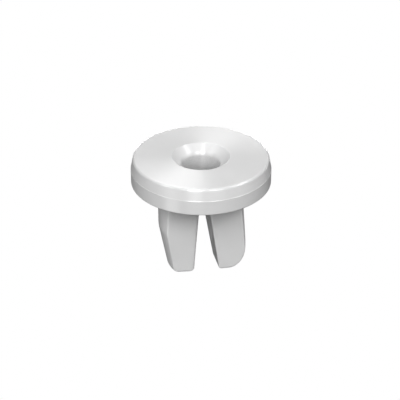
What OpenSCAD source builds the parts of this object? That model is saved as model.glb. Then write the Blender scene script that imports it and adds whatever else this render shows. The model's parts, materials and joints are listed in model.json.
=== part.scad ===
// Push-in screw anchor of moulded nylon: a round flange on a split stem with two sprung legs.
// Frame: the flange's underside, which seats on the panel, is z = 0. Z is the screw axis, and the
// head is up. The slot runs along Y, so the legs stand at -X (left) and +X (right) and flex along X.

/* [Flange] */
// Diameter of the flange at its parting line
flange_d = 16; // [14:0.1:20]
// Thickness of the flange
flange_t = 3.1; // [2.6:0.1:4]
// Height of the parting line above the underside
parting_h = 1.73; // [1.2:0.01:1.9]
// How far the rim's upper band leans in over its height
rim_draft = 0.28; // [0:0.01:0.4]
// Radius of the rounded top edge
top_edge_r = 0.32; // [0.1:0.01:0.5]
// Radius of the rounded bottom edge
bottom_edge_r = 0.15; // [0.05:0.01:0.3]

/* [Screw hole] */
// Diameter of the bore that the screw cuts its thread in
bore_d = 4.4; // [4:0.1:4.7]
// Diameter of the countersink in the top face
countersink_d = 6.6; // [6:0.1:8]
// Depth of the countersink
countersink_depth = 0.75; // [0.5:0.05:1.2]
// Radius of the screw groove between the legs at its narrow end
tip_groove_r = 1.2; // [0.8:0.1:1.8]
// Length over which the screw groove narrows
groove_h = 9.3; // [7:0.1:11]

/* [Stem] */
// Diameter of the stem, a push fit in the panel's hole
stem_d = 10; // [9.6:0.1:11]
// Depth of the solid collar under the flange, where the slot ends
collar_h = 1.85; // [1.5:0.05:2]
// How far the collar is let into the flange
spigot_h = 0.6; // [0.2:0.1:1.5]
// Distance between the stem's two flats at the flange
flats_w = 5.44; // [5.2:0.02:7]
// How much each flat leans in towards the tips, in degrees
flat_draft = 5; // [0:0.1:6]
// Radius of the rounded lower edges on the flats
tip_edge_r = 0.3; // [0.1:0.05:0.6]

/* [Leg roots] */
// Distance of each leg's bending line from the screw axis
root_x = 3; // [2.95:0.05:3.4]
// Radius of the bending root
root_r = 0.55; // [0.4:0.01:0.56]
// Running clearance between a root and the leg that turns on it
root_clearance = 0.04; // [0.02:0.01:0.08]
// Angle that each leg can spread outwards, in degrees
spread_max = 10; // [4:0.5:12]
// Angle that each leg can close inwards, in degrees
close_max = 6; // [2:0.5:7]

/* [Left leg] */
// Distance of the left leg's slot face from the screw axis at the flange
left_slot = 0.53; // [0.2:0.01:0.8]
// How much the left leg's slot face leans outwards, in degrees
left_slot_lean = 3.3; // [0:0.1:10]
// Radius of the left leg's outer face at the flange
left_r = 4.98; // [4.6:0.01:5.2]
// How much the left leg's outer face flares down to its crest, in degrees
left_flare = 0; // [0:0.1:5]
// Depth of the left leg's crest, its widest place
left_crest = 5.55; // [4:0.05:8.5]
// Taper of the left leg's outer face below the crest, in degrees
left_taper = 10.5; // [0:0.1:12]
// Depth of the left leg's tip below the flange
left_depth = 11.1; // [9.5:0.05:12]
// Width and height of the round on the left leg's outer tip
left_tip = [0.4, 0.6]; // [0.2:0.1:2.6]

/* [Right leg] */
// Distance of the right leg's slot face from the screw axis at the flange
right_slot = 0; // [-0.1:0.01:0.8]
// How much the right leg's slot face leans outwards, in degrees
right_slot_lean = 9.2; // [0:0.1:10]
// Radius of the right leg's outer face at the flange
right_r = 4.69; // [4.6:0.01:5.2]
// How much the right leg's outer face flares down to its crest, in degrees
right_flare = 3.9; // [0:0.1:5]
// Depth of the right leg's crest, its widest place
right_crest = 8.2; // [4:0.05:8.5]
// Taper of the right leg's outer face below the crest, in degrees
right_taper = 1; // [0:0.1:12]
// Depth of the right leg's tip below the flange
right_depth = 11.45; // [9.5:0.05:12]
// Width and height of the round on the right leg's outer tip
right_tip = [1.9, 2.6]; // [0.2:0.1:2.6]

/* [Hidden] */
$fn = 96;

nylon = [0.93, 0.93, 0.9];
nylon_root = [0.8, 0.86, 0.93];
nylon_leg = [0.9, 0.92, 0.88];

flange_r = flange_d / 2;
bore_r = bore_d / 2;
stem_r = stem_d / 2;
root_z = -collar_h - 0.05; // the bending line, just under the collar
over = 1;                  // how far a cutting tool runs past what it cuts
arc_steps = 8;             // straight steps in a rounded edge
relief = 0.6;              // extra slope on the shoulders beyond each leg's travel, in degrees

// Points of a quarter round about c, from angle a0 to a1, with radii rx and ry
function round_edge(c, rx, ry, a0, a1) =
    [for (i = [0:arc_steps]) let (a = a0 + (a1 - a0) * i / arc_steps)
        [c[0] + rx * cos(a), c[1] + ry * sin(a)]];

// Half the distance between the flats at height z
function flat_half(z) = flats_w / 2 + z * tan(flat_draft);

// Round head that stays on the face of the panel, with its countersunk screw hole and a pocket
// below for the top of the collar, so that its seat is a clear ring round the stem
module head_flange() {
    rim_top_r = flange_r - rim_draft;
    color(nylon)
    difference() {
        rotate_extrude()
        polygon(concat(
            [[bore_r, 0]],
            round_edge([flange_r - bottom_edge_r, bottom_edge_r], bottom_edge_r, bottom_edge_r, -90, 0),
            [[flange_r, parting_h]],
            round_edge([rim_top_r - top_edge_r, flange_t - top_edge_r], top_edge_r, top_edge_r, 0, 90),
            [[countersink_d / 2, flange_t], [bore_r, flange_t - countersink_depth]]
        ));
        stem_slice(-over, spigot_h);
    }
}

// Everything between the stem's two drafted flats, from z = top down to the given depth
module between_flats(top, depth) {
    half_tip = flat_half(-depth);
    lower_edge = round_edge([half_tip - tip_edge_r, -depth + tip_edge_r],
        tip_edge_r, tip_edge_r, 0, -90);
    rotate([90, 0, 90])
    linear_extrude(height = 4 * stem_r, center = true)
    polygon(concat(
        [[-flat_half(top), top], [flat_half(top), top]],
        lower_edge,
        [for (i = [arc_steps:-1:0]) [-lower_edge[i][0], lower_edge[i][1]]]
    ));
}

// The stem's own outline between two heights: round, with two drafted flats
module stem_slice(from, to) {
    intersection() {
        translate([0, 0, from])
        cylinder(r = stem_r, h = to - from);
        between_flats(spigot_h, 2 * collar_h);
    }
}

// Line across the stem that a leg bends about, as a rod of radius r
module root_rod(side, r, length) {
    translate([side * root_x, 0, root_z])
    rotate([90, 0, 0])
    cylinder(r = r, h = length, center = true, $fn = 48);
}

// Solid top of the stem: it carries the legs and holds the upper part of the bore
module stem_collar() {
    color(nylon)
    difference() {
        stem_slice(-collar_h, spigot_h);
        translate([0, 0, -collar_h - over])
        cylinder(r = bore_r, h = collar_h + spigot_h + 2 * over);
        root_rod(-1, root_r, flats_w + over);
        root_rod(1, root_r, flats_w + over);
    }
}

// Bending root of one leg
module flexure(side) {
    color(nylon_root)
    root_rod(side, root_r, 2 * flat_half(root_z - root_r));
}

// Outer shape of a leg as a full round: it flares to the crest, tapers, and is rounded at the tip
module leg_round(r, flare, crest, taper, depth, tip) {
    tip_z = -depth;
    crest_r = r + crest * tan(flare);
    shoulder_r = crest_r - (depth - tip[1] - crest) * tan(taper);
    rotate_extrude()
    polygon(concat(
        [[0, 0], [0, tip_z]],
        round_edge([shoulder_r - tip[0], tip_z + tip[1]], tip[0], tip[1], -90, 0),
        [[crest_r, -crest], [r, 0]]
    ));
}

// Everything on the far side of a leg's slot face, which is x = at where it meets the flange
module slot_side(at, lean) {
    reach = 4 * stem_r;
    run = reach * tan(lean);
    rotate([90, 0, 0])
    linear_extrude(height = 4 * stem_r, center = true)
    polygon([[at - run, reach], [-reach, reach], [-reach, -reach], [at + run, -reach]]);
}

// Room for the screw between the legs: the bore carried on as a cone that narrows to the tips
module screw_groove() {
    narrowing = (bore_r - tip_groove_r) / groove_h;
    translate([0, 0, -collar_h - groove_h - over])
    cylinder(r1 = tip_groove_r - over * narrowing, r2 = bore_r + over * narrowing,
        h = groove_h + 2 * over);
}

// Room above a leg: it slopes away from the bending line so that the leg can turn both ways
module shoulder_room() {
    reach = 2 * stem_r;
    rotate([90, 0, 0])
    linear_extrude(height = 4 * stem_r, center = true)
    polygon([
        [root_x, root_z],
        [root_x + reach, root_z - reach * tan(spread_max + relief)],
        [root_x + reach, root_z + reach],
        [root_x - reach, root_z + reach],
        [root_x - reach, root_z - reach * tan(close_max + relief)]
    ]);
}

// Leg on one side (-1 left, 1 right), with the socket that its root turns in
module leg(side, slot, slot_lean, r, flare, crest, taper, depth, tip) {
    mirror([side < 0 ? 1 : 0, 0, 0])
    difference() {
        intersection() {
            leg_round(r, flare, crest, taper, depth, tip);
            between_flats(over, depth);
        }
        slot_side(slot, slot_lean);
        screw_groove();
        shoulder_room();
        root_rod(1, root_r + root_clearance, 2 * flats_w);
    }
}

module left_flexure() { flexure(-1); }

module right_flexure() { flexure(1); }

module left_leg() {
    color(nylon_leg)
    leg(-1, left_slot, left_slot_lean, left_r, left_flare, left_crest, left_taper,
        left_depth, left_tip);
}

module right_leg() {
    color(nylon_leg)
    leg(1, right_slot, right_slot_lean, right_r, right_flare, right_crest, right_taper,
        right_depth, right_tip);
}

head_flange();
stem_collar();
left_flexure();
right_flexure();
left_leg();
right_leg();
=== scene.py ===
"""A push-in screw anchor of white nylon, on a plain pale floor under soft studio light."""

import json
import math

import bmesh
import bpy
from mathutils import Matrix, Vector


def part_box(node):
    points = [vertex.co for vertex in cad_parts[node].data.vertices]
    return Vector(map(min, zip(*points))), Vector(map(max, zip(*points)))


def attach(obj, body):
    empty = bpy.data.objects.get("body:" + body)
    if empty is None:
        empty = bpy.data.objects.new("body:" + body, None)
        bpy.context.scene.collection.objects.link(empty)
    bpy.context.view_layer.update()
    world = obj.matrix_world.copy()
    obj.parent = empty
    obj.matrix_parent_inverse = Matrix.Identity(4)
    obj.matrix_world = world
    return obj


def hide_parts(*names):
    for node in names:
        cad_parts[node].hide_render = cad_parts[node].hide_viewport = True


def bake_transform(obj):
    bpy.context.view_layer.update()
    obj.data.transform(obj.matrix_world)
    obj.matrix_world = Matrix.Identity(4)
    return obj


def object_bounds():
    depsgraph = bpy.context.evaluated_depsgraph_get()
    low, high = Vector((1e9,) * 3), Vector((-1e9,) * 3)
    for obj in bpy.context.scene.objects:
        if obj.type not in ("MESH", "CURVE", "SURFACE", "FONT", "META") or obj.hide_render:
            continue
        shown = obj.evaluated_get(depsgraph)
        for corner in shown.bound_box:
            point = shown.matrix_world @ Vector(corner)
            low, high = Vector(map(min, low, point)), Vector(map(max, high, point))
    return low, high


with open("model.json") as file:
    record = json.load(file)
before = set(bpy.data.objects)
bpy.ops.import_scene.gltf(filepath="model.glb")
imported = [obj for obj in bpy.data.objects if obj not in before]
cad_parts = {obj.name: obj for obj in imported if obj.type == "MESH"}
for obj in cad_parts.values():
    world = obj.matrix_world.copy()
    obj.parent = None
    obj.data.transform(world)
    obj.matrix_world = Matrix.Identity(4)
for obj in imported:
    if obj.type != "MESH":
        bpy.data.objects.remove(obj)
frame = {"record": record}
cad_low, cad_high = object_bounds()

MM = 0.001  # shapes below are worked out in millimetres and scaled once, in make_mesh


# ---------------------------------------------------------------- sizes from the CAD frame


def mount(name):
    """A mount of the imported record."""
    return next(m for m in frame["record"]["mounts"] if m["name"] == name)


flange_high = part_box("head_flange")[1]
collar_low, collar_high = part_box("stem_collar")
FLANGE_R = flange_high.x / MM
FLANGE_T = flange_high.z / MM
STEM_R = collar_high.x / MM
COLLAR_H = -collar_low.z / MM
BORE_R = mount("screw_bore")["dims"]["r_mm"]

# Flange
PARTING_H = 1.73       # height of the parting line round the rim
RIM_DRAFT = 0.28       # how far the rim's upper band leans in
RIM_STEP = 0.03        # how far the lower band stands proud at the parting line
TOP_EDGE_R = 0.32
BOTTOM_EDGE_R = 0.15
PARTING_EDGE_R = 0.03
PARTING_STEP_H = 0.05  # height over which the step at the parting line is made
COUNTERSINK_R = 3.3
COUNTERSINK_DEPTH = 0.75
COUNTERSINK_EDGE_R = 0.12
THROAT_EDGE_R = 0.7
PROFILE_STEP = 0.12    # longest straight run between points of the flange's section
FLANGE_TURNS = 256     # sections round the flange

# Marks that moulding leaves on the flange
PIN_MARK_R = 0.6       # radius of an ejector pin's mark in the underside
PIN_MARK_DEPTH = 0.05
PIN_MARK_EDGE = 0.06   # half the width of the soft rim of a mark
PIN_CIRCLE_R = 6.55
PIN_COUNT = 4
GATE_WIDTH = 0.9       # the gate's stub on the rim, at the back
GATE_HEIGHT = 0.7
GATE_PROUD = 0.09
GATE_EDGE = 0.08       # half the width of the stub's soft border
GATE_ROOT = 0.2        # how far in from the widest radius the stub reaches

# Stem
FLATS_HALF = 2.72      # half the distance between the flats at the flange
FLAT_DRAFT = math.radians(5)
GROOVE_TIP_R = 1.2
GROOVE_H = 9.3
ROOT_FILLET = 0.22     # where the stem grows out of the flange
SLOT_TOP = -1.55       # where the slot's rounded end begins
SLOT_FULL = -2.1       # where the slot has its full width
RIDGE_R = 0.2          # fillet on the outer long edges of the legs
TIP_EDGE_R = 0.28      # fillet round the bottom of the legs
ROUND_TO = 0.5         # depth down to which the stem is still fully round
OWN_FROM = 3.4         # depth from which a leg has its own outer radius
CREST_ROUND = 0.06     # width over which a leg's crest is rounded
SLANT_H = 3            # height over which a slanted tip starts to slant
FILLET_ROOM = 0.45     # share of a tip's width that one edge's fillet may take
CURVE_REACH = 1.15     # how much further than an arc's a curve's ends lie from its corner
FULL_EDGE_FACE = 0.35  # distance of the slot face from the axis where its fillet has its full radius
LEAST_EDGE = 0.004     # the slot edge's fillet where the slot has closed

LEGS = {
    "left": dict(side=-1, slot=0.53, slot_lean=3.3, slot_edge_r=0.34, r=4.98, flare=0, crest=5.55,
                 taper=10.5, depth=11.1, tip=(0.4, 0.6), tip_slant=5.5,
                 slot_tip=(0.42, 0.5)),
    "right": dict(side=1, slot=0.0, slot_lean=9.2, slot_edge_r=0.2, r=4.69, flare=3.9, crest=8.2,
                  taper=1.0, depth=11.45, tip=(1.9, 2.6), tip_slant=0.0,
                  slot_tip=(0.2, 0.3)),
}


# ---------------------------------------------------------------- small geometry helpers


def smoothstep(low, high, value):
    """0 before low, 1 after high, and a smooth ramp between."""
    t = min(1.0, max(0.0, (value - low) / (high - low)))
    return t * t * (3 - 2 * t)


def soft_min(a, b, width):
    """The smaller of a and b, with the corner between them rounded over about that width."""
    h = max(0.0, 1 - abs(a - b) / width)
    return min(a, b) - h * h * width / 4


def rounded(corners, steps=8):
    """A closed outline of (x, y, radius) corners, each rounded by an arc of its radius."""
    points = []
    count = len(corners)
    for i, (x, y, radius) in enumerate(corners):
        corner = Vector((x, y))
        if radius == 0:
            points.append(corner)
            continue
        to_last = (Vector(corners[i - 1][:2]) - corner).normalized()
        to_next = (Vector(corners[(i + 1) % count][:2]) - corner).normalized()
        half = to_last.angle(to_next) / 2
        centre = corner + (to_last + to_next).normalized() * radius / math.sin(half)
        arm = corner + to_last * radius / math.tan(half) - centre
        turn = (math.pi - 2 * half) * (1 if to_last.cross(to_next) < 0 else -1)
        points += [centre + Matrix.Rotation(turn * k / steps, 2) @ arm for k in range(steps + 1)]
    return points


def spaced(points, step):
    """The closed outline with extra points, so that no straight run is longer than step."""
    result = []
    for a, b in zip(points, points[1:] + points[:1]):
        pieces = max(1, math.ceil((b - a).length / step))
        result += [a.lerp(b, k / pieces) for k in range(pieces)]
    return result


def make_mesh(name, verts, faces, sharp_deg=38):
    """A mesh object from points in millimetres, smooth but for edges sharper than sharp_deg."""
    mesh = bpy.data.meshes.new(name)
    mesh.from_pydata([Vector(v) * MM for v in verts], [], faces)
    work = bmesh.new()
    work.from_mesh(mesh)
    bmesh.ops.remove_doubles(work, verts=work.verts, dist=1e-7)
    bmesh.ops.recalc_face_normals(work, faces=work.faces)
    # the caps are split here, since the default split leaves crossing and empty triangles in them
    caps = [face for face in work.faces if len(face.verts) > 4]
    bmesh.ops.triangulate(work, faces=caps, ngon_method="BEAUTY")
    work.to_mesh(mesh)
    work.free()
    mesh.shade_smooth()
    mesh.set_sharp_from_angle(angle=math.radians(sharp_deg))
    obj = bpy.data.objects.new(name, mesh)
    bpy.context.scene.collection.objects.link(obj)
    return obj


# ---------------------------------------------------------------- flange


def flange_profile():
    """The flange's section as (radius, height) points, all the way round."""
    rim_top = FLANGE_R - RIM_DRAFT
    step_r = FLANGE_R - RIM_STEP
    corners = [
        (BORE_R, 0, 0),
        (FLANGE_R, 0, BOTTOM_EDGE_R),
        (FLANGE_R, PARTING_H, PARTING_EDGE_R),
        (step_r, PARTING_H + PARTING_STEP_H, PARTING_EDGE_R),
        (rim_top, FLANGE_T, TOP_EDGE_R),
        (COUNTERSINK_R, FLANGE_T, COUNTERSINK_EDGE_R),
        (BORE_R, FLANGE_T - COUNTERSINK_DEPTH, THROAT_EDGE_R),
    ]
    return spaced(rounded(corners), PROFILE_STEP)


def pin_mark(x, y):
    """How deep the nearest ejector pin's mark is at a point of the underside."""
    depth = 0
    for k in range(PIN_COUNT):
        angle = 2 * math.pi * (k + 0.5) / PIN_COUNT
        gap = math.hypot(x - PIN_CIRCLE_R * math.cos(angle), y - PIN_CIRCLE_R * math.sin(angle))
        low, high = PIN_MARK_R - PIN_MARK_EDGE, PIN_MARK_R + PIN_MARK_EDGE
        depth += PIN_MARK_DEPTH * (1 - smoothstep(low, high, gap))
    return depth


def gate_stub(angle, height):
    """How far the gate's stub stands out of the rim at that place."""
    across = abs(angle - math.pi / 2) * FLANGE_R
    along = abs(height - PARTING_H + GATE_HEIGHT / 2)
    return GATE_PROUD * (
        (1 - smoothstep(GATE_WIDTH / 2 - GATE_EDGE, GATE_WIDTH / 2 + GATE_EDGE, across))
        * (1 - smoothstep(GATE_HEIGHT / 2 - GATE_EDGE, GATE_HEIGHT / 2 + GATE_EDGE, along))
    )


def flange():
    """The round head, turned from its section, with its ejector marks and gate stub."""
    profile = flange_profile()
    turns = FLANGE_TURNS
    verts = []
    for i in range(turns):
        angle = 2 * math.pi * i / turns
        for radius, height in profile:
            x, y = radius * math.cos(angle), radius * math.sin(angle)
            if height < 1e-6:
                height += pin_mark(x, y)
            if radius > FLANGE_R - GATE_ROOT:
                swell = 1 + gate_stub(angle, height) / radius
                x, y = x * swell, y * swell
            verts.append((x, y, height))
    n = len(profile)
    faces = [
        (i * n + j, (i + 1) % turns * n + j, (i + 1) % turns * n + (j + 1) % n, i * n + (j + 1) % n)
        for i in range(turns)
        for j in range(n)
    ]
    obj = make_mesh("flange", verts, faces)
    obj.data.materials.append(nylon_head())
    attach(obj, "head")
    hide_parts("head_flange")
    return obj


# ---------------------------------------------------------------- stem, in two sprung halves


def corner_round(rise, width, height):
    """How far a rounded bottom corner, so wide and high, draws a side in at that height over it."""
    sink = max(0.0, 1 - rise / height)
    return width * (1 - math.sqrt(max(0.0, 1 - sink * sink)))


def outer_radius(leg, z):
    """Radius of the leg's outer face at height z, from the round stem to the tip's rounding."""
    flare, taper = math.tan(math.radians(leg["flare"])), math.tan(math.radians(leg["taper"]))
    crest_r = leg["r"] + leg["crest"] * flare
    own = soft_min(leg["r"] - z * flare, crest_r + (z + leg["crest"]) * taper, CREST_ROUND)
    radius = STEM_R + (own - STEM_R) * smoothstep(ROUND_TO, OWN_FROM, -z)
    return radius - corner_round(z + leg["depth"], *leg["tip"])


def slot_face(leg, z):
    """Distance of the leg's slot face from the screw axis. It is 0 above the slot."""
    full = leg["slot"] - z * math.tan(math.radians(leg["slot_lean"]))
    if z >= SLOT_TOP:
        return 0.0
    if z > SLOT_FULL:
        rise = (z - SLOT_FULL) / (SLOT_TOP - SLOT_FULL)
        return full * math.sqrt(max(0.0, 1 - rise * rise))
    return full + corner_round(z + leg["depth"], *leg["slot_tip"])


def groove_radius(z):
    """Radius of the bore, which narrows as a cone below the collar."""
    share = min(1.0, max(0.0, (-z - COLLAR_H) / GROOVE_H))
    return BORE_R + (GROOVE_TIP_R - BORE_R) * share


def tip_drop(leg, x, z):
    """How much lower a point of a slanted tip lies: the tip drops towards the slot."""
    reach = leg["r"] - (leg["depth"] - leg["crest"]) * math.tan(math.radians(leg["taper"]))
    slope = math.tan(math.radians(leg["tip_slant"]))
    share = smoothstep(leg["depth"] - SLANT_H, leg["depth"], -z)
    return (reach - leg["tip"][0] - x) * slope * share


def run(a, b, steps):
    """Points from a towards b, without b."""
    return [a.lerp(b, k / steps) for k in range(steps)]


def bend(a, corner, b, steps=6):
    """Points of a curve from a to b that rounds the corner between them, without b."""
    curve = []
    for k in range(steps):
        t = k / steps
        curve.append(a * (1 - t) ** 2 + corner * (2 * t * (1 - t)) + b * t * t)
    return curve


def section(leg, z):
    """The closed outline of one half of the stem at height z, for the half on the +X side."""
    inset = corner_round(z + leg["depth"], TIP_EDGE_R, TIP_EDGE_R)
    flare = corner_round(-z, ROOT_FILLET, ROOT_FILLET)
    radius = outer_radius(leg, z) - inset + flare
    half = FLATS_HALF + z * math.tan(FLAT_DRAFT) - inset + flare
    face = slot_face(leg, z) + inset
    groove = groove_radius(z) + inset
    side = math.asin(half / radius)
    out = radius * math.cos(side)
    room = (out - face) * FILLET_ROOM  # a narrow tip has less room for the two fillets
    ridge = min(room, RIDGE_R * math.tan((math.pi / 2 - side) / 2) * CURVE_REACH)
    edge_r = max(LEAST_EDGE, leg["slot_edge_r"] * min(1.0, face / FULL_EDGE_FACE))
    edge = min(room, edge_r * CURVE_REACH)
    turn = ridge / radius
    mouth = max(math.acos(min(1.0, face / groove)), math.radians(10))
    lip = max(groove, face / math.cos(mouth)) * math.sin(mouth)

    def on_arc(angle):
        return Vector((radius * math.cos(angle), radius * math.sin(angle)))

    def on_groove(angle):
        reach = max(groove, face / math.cos(angle)) if abs(angle) < math.pi / 2 - 1e-6 else groove
        return Vector((reach * math.cos(angle), reach * math.sin(angle)))

    front_in, front_out = Vector((face, -half)), Vector((out, -half))
    back_out, back_in = Vector((out, half)), Vector((face, half))
    points = run(front_in + Vector((edge, 0)), front_out - Vector((ridge, 0)), 10)
    points += bend(front_out - Vector((ridge, 0)), front_out, on_arc(-side + turn))
    points += [on_arc(-side + turn + (side - turn) * 2 * k / 24) for k in range(24)]
    points += bend(on_arc(side - turn), back_out, back_out - Vector((ridge, 0)))
    points += run(back_out - Vector((ridge, 0)), back_in + Vector((edge, 0)), 10)
    points += bend(back_in + Vector((edge, 0)), back_in, back_in - Vector((0, edge)))
    points += run(back_in - Vector((0, edge)), Vector((face, lip)), 4)
    points += [on_groove(mouth - 2 * mouth * k / 24) for k in range(24)]
    points += run(Vector((face, -lip)), front_in + Vector((0, edge)), 4)
    points += bend(front_in + Vector((0, edge)), front_in, front_in + Vector((edge, 0)))
    return [(leg["side"] * p.x, p.y, z - tip_drop(leg, p.x, z)) for p in points]


def heights(leg):
    """Heights of the outlines, close together where the shape turns quickly."""
    low, tip_top = -leg["depth"], -leg["depth"] + max(leg["tip"][1], leg["slot_tip"][1])
    root = [-ROOT_FILLET * (1 - math.cos(math.pi / 2 * k / 6)) for k in range(6)]
    plain = [-ROOT_FILLET + (SLOT_TOP + ROOT_FILLET) * k / 8 for k in range(8)]
    arch = [
        SLOT_FULL + (SLOT_TOP - SLOT_FULL) * math.cos(math.pi / 2 * k / 12) for k in range(12)
    ]
    count = math.ceil((SLOT_FULL - tip_top) / 0.14)
    straight = [SLOT_FULL + (tip_top - SLOT_FULL) * k / count for k in range(count)]
    tip = [low + (tip_top - low) * (1 - math.sin(math.pi / 2 * k / 24)) for k in range(25)]
    return root + plain + arch + straight + tip


def stem_half(name):
    """One half of the stem, from the flange to the tip."""
    leg = LEGS[name]
    rings = [section(leg, z) for z in heights(leg)]
    n = len(rings[0])
    verts = [p for ring in rings for p in ring]
    faces = [
        (i * n + j, i * n + (j + 1) % n, (i + 1) * n + (j + 1) % n, (i + 1) * n + j)
        for i in range(len(rings) - 1)
        for j in range(n)
    ]
    faces += [tuple(range(n)), tuple(range((len(rings) - 1) * n, len(rings) * n))]
    obj = make_mesh(f"{name}_stem_half", verts, faces)
    obj.data.materials.append(nylon_leg())
    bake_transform(obj)
    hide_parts("stem_collar", f"{name}_flexure", f"{name}_leg")
    return obj


# ---------------------------------------------------------------- materials


def new_material(name):
    """An empty node material and a function that adds a node to it."""
    material = bpy.data.materials.new(name)
    material.use_nodes = True
    tree = material.node_tree
    tree.nodes.clear()

    def add(kind, inputs=None, **settings):
        node = tree.nodes.new(kind)
        for key, value in settings.items():
            setattr(node, key, value)
        for key, value in (inputs or {}).items():
            if isinstance(value, bpy.types.NodeSocket):
                tree.links.new(value, node.inputs[key])
            else:
                node.inputs[key].default_value = value
        return node

    return material, add


# Painted shade: the nylon's colour is darkened where nearby walls close a surface in, in the bore, the slot
# and under the flange. Per part: openness where the painted shade is darkest, openness where the colour is
# full, and how much colour is left at the darkest.
PAINTED_SHADE_REACH = 0.006   # metres that an opposite wall may be away and still shade a surface
HEAD_PAINTED_SHADE = (0.1, 0.4, 0.2)     # openness at the darkest and at full colour, then what is left
LEG_PAINTED_SHADE = (0.3, 0.9, 0.55)
CLOUD_SCALE = 260.0     # scale of the faint clouds in the colour and the gloss
CLOUD_TINT = 0.97       # how dark the clouds are against the full colour
CLOUD_GLOSS = 0.05      # how far the clouds move the roughness either way
GRAIN_SCALE = 4200.0    # scale of the moulded texture
GRAIN_STRENGTH = 0.08
GRAIN_DEPTH = 0.00002   # metres
MILKINESS = 0.15        # share of the light that is scattered under the surface
MILK_DEPTH = 0.0003     # metres that it travels there


def nylon(name, colour, roughness, gloss_ior, lay, painted_shade):
    """Natural white nylon: a milky satin plastic with a faint moulded texture.

    Its colour carries painted shade: an ambient occlusion term darkens it in crevices, in the bore, the
    slot and under the flange. The last argument is the openness at which the painted shade is darkest, that
    at which the colour is full, and how much of the colour is left at its darkest.
    """
    material, add = new_material(name)
    place = add("ShaderNodeTexCoord").outputs["Object"]
    cloud = add("ShaderNodeTexNoise", {"Vector": place, "Scale": CLOUD_SCALE, "Detail": 3.0}).outputs["Fac"]
    grain = add("ShaderNodeTexNoise", {"Vector": place, "Scale": GRAIN_SCALE, "Detail": 2.0}).outputs["Fac"]
    tint = add("ShaderNodeValToRGB", {"Fac": cloud})
    tint.color_ramp.elements[0].position, tint.color_ramp.elements[1].position = 0.3, 0.7
    tint.color_ramp.elements[0].color = (*(CLOUD_TINT * c for c in colour), 1)
    tint.color_ramp.elements[1].color = (*colour, 1)
    # painted shade: the colour is made darker where the surface is closed in by nearby walls
    openness = add("ShaderNodeAmbientOcclusion", {"Distance": PAINTED_SHADE_REACH}, samples=8).outputs["AO"]
    painted_shade_factor = add(
        "ShaderNodeMapRange",
        {"Value": openness, "From Min": painted_shade[0], "From Max": painted_shade[1], "To Min": painted_shade[2]},
    ).outputs["Result"]
    colour_with_painted_shade = add(
        "ShaderNodeVectorMath",
        {0: tint.outputs["Color"], 1: painted_shade_factor},
        operation="MULTIPLY",
    ).outputs["Vector"]
    gloss = add(
        "ShaderNodeMapRange",
        {"Value": cloud, "To Min": roughness - CLOUD_GLOSS, "To Max": roughness + CLOUD_GLOSS},
    ).outputs["Result"]
    bump = add(
        "ShaderNodeBump", {"Height": grain, "Strength": GRAIN_STRENGTH, "Distance": GRAIN_DEPTH}
    )
    inputs = {
        "Base Color": colour_with_painted_shade,
        "Roughness": gloss,
        "Normal": bump.outputs["Normal"],
        "IOR": gloss_ior,
        "Subsurface Weight": MILKINESS,
        "Subsurface Radius": (1.0, 1.0, 1.0),
        "Subsurface Scale": MILK_DEPTH,
        "Anisotropic": lay,
        "Anisotropic Rotation": 0.25 if lay else 0.0,
    }
    if lay:
        turned = add("ShaderNodeTangent", direction_type="RADIAL", axis="Z")
        inputs["Tangent"] = turned.outputs["Tangent"]
    shader = add("ShaderNodeBsdfPrincipled", inputs)
    add("ShaderNodeOutputMaterial", {"Surface": shader.outputs["BSDF"]})
    return material


def nylon_head():
    """Nylon of the head, with the circular lay of a turned mould."""
    return nylon("nylon_head", (0.7, 0.7, 0.7), 0.32, 2.1, 0.9, HEAD_PAINTED_SHADE)


def nylon_leg():
    """Nylon of the stem."""
    return nylon("nylon_leg", (0.74, 0.74, 0.74), 0.32, 1.6, 0.0, LEG_PAINTED_SHADE)


# ---------------------------------------------------------------- stage

CAMERA_AZIMUTH = math.radians(-12.5)
CAMERA_PITCH = math.radians(30.15)
CAMERA_DISTANCE = 132.05   # to the centre of the head's top face
CAMERA_LENS = 105.03
CAMERA_SENSOR = 36
AIM_RIGHT = -0.12          # where the view's centre lies, seen from the head's top centre
AIM_UP = -4.98
LIGHT_DISTANCE = 0.3       # metres
FLOOR_DROP = 0.5           # metres from the tips down to the floor
FLOOR_SIZE = 6.0           # metres
AMBIENT = 0.1              # strength of the light from all round


def direction(azimuth, elevation):
    """Unit vector from the object to a place, the azimuth counted from the camera's, in degrees."""
    a = CAMERA_AZIMUTH + math.radians(azimuth)
    e = math.radians(elevation)
    return Vector((math.sin(a) * math.cos(e), -math.cos(a) * math.cos(e), math.sin(e)))


def camera():
    """The camera, above the object and a little to the left of its front."""
    data = bpy.data.cameras.new("camera")
    data.lens = CAMERA_LENS
    data.sensor_width = CAMERA_SENSOR
    data.clip_start, data.clip_end = 0.005, 10
    obj = bpy.data.objects.new("camera", data)
    back = direction(0, math.degrees(CAMERA_PITCH))
    obj.rotation_euler = back.to_track_quat("Z", "Y").to_euler()
    right = Vector((math.cos(CAMERA_AZIMUTH), math.sin(CAMERA_AZIMUTH), 0))
    up = back.cross(right)
    aim = Vector((0, 0, FLANGE_T)) + right * AIM_RIGHT + up * AIM_UP
    obj.location = (aim + back * CAMERA_DISTANCE) * MM
    bpy.context.scene.collection.objects.link(obj)
    bpy.context.scene.camera = obj


def softbox(name, azimuth, elevation, wide, high, power):
    """A soft light that faces the object, its sides given in degrees as seen from the object."""
    data = bpy.data.lights.new(name, "AREA")
    data.shape = "RECTANGLE"
    data.size = 2 * LIGHT_DISTANCE * math.tan(math.radians(wide / 2))
    data.size_y = 2 * LIGHT_DISTANCE * math.tan(math.radians(high / 2))
    data.energy = power
    obj = bpy.data.objects.new(name, data)
    back = direction(azimuth, elevation)
    obj.location = back * LIGHT_DISTANCE
    obj.rotation_euler = back.to_track_quat("Z", "Y").to_euler()
    bpy.context.scene.collection.objects.link(obj)


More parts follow.
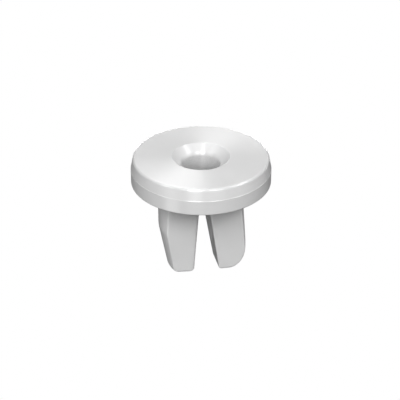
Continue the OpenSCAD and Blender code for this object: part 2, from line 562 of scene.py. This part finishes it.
def lights():
    """A tall key in front, small lights beside, behind and below, and a wide fill for the back."""
    softbox("key", -10, 37, 16, 34, 0.70)
    softbox("key_right", 24, 37, 16, 14, 0.22)
    softbox("left_high", -62, 37, 16, 16, 0.13)
    softbox("right_high", 82, 46, 18, 16, 0.26)
    softbox("behind", -169, 50, 16, 16, 0.16)
    softbox("behind_low", -170, 37, 14, 12, 0.03)
    softbox("left_edge", -48, -30, 20, 20, 0.07)
    softbox("back_fill", 180, -8, 36, 24, 0.75)


def pale_floor():
    """A wide pale floor, seen only by the camera: it takes no shadow and lights nothing."""
    material, add = new_material("pale_floor")
    glow = add("ShaderNodeEmission", {"Color": (1, 1, 1, 1), "Strength": 1.0})
    add("ShaderNodeOutputMaterial", {"Surface": glow.outputs["Emission"]})
    half, level = FLOOR_SIZE / 2, cad_low.z - FLOOR_DROP
    mesh = bpy.data.meshes.new("pale_floor")
    corners = [(-half, -half), (half, -half), (half, half), (-half, half)]
    mesh.from_pydata([(x, y, level) for x, y in corners], [], [(0, 1, 2, 3)])
    mesh.materials.append(material)
    obj = bpy.data.objects.new("pale_floor", mesh)
    obj.visible_diffuse = obj.visible_glossy = obj.visible_transmission = False
    obj.visible_shadow = False
    bpy.context.scene.collection.objects.link(obj)


def surroundings():
    """A white backdrop for the camera, which adds only a little light to the object."""
    world = bpy.data.worlds.new("studio")
    bpy.context.scene.world = world
    world.use_nodes = True
    tree = world.node_tree
    tree.nodes.clear()
    path = tree.nodes.new("ShaderNodeLightPath")
    strength = tree.nodes.new("ShaderNodeMapRange")
    strength.inputs["To Min"].default_value = AMBIENT
    tree.links.new(path.outputs["Is Camera Ray"], strength.inputs["Value"])
    backdrop = tree.nodes.new("ShaderNodeBackground")
    backdrop.inputs["Color"].default_value = (1, 1, 1, 1)
    tree.links.new(strength.outputs["Result"], backdrop.inputs["Strength"])
    out = tree.nodes.new("ShaderNodeOutputWorld")
    tree.links.new(backdrop.outputs["Background"], out.inputs["Surface"])


bpy.context.scene.view_settings.view_transform = "Standard"
camera()
surroundings()
pale_floor()
lights()
flange()
stem_half("left")
stem_half("right")
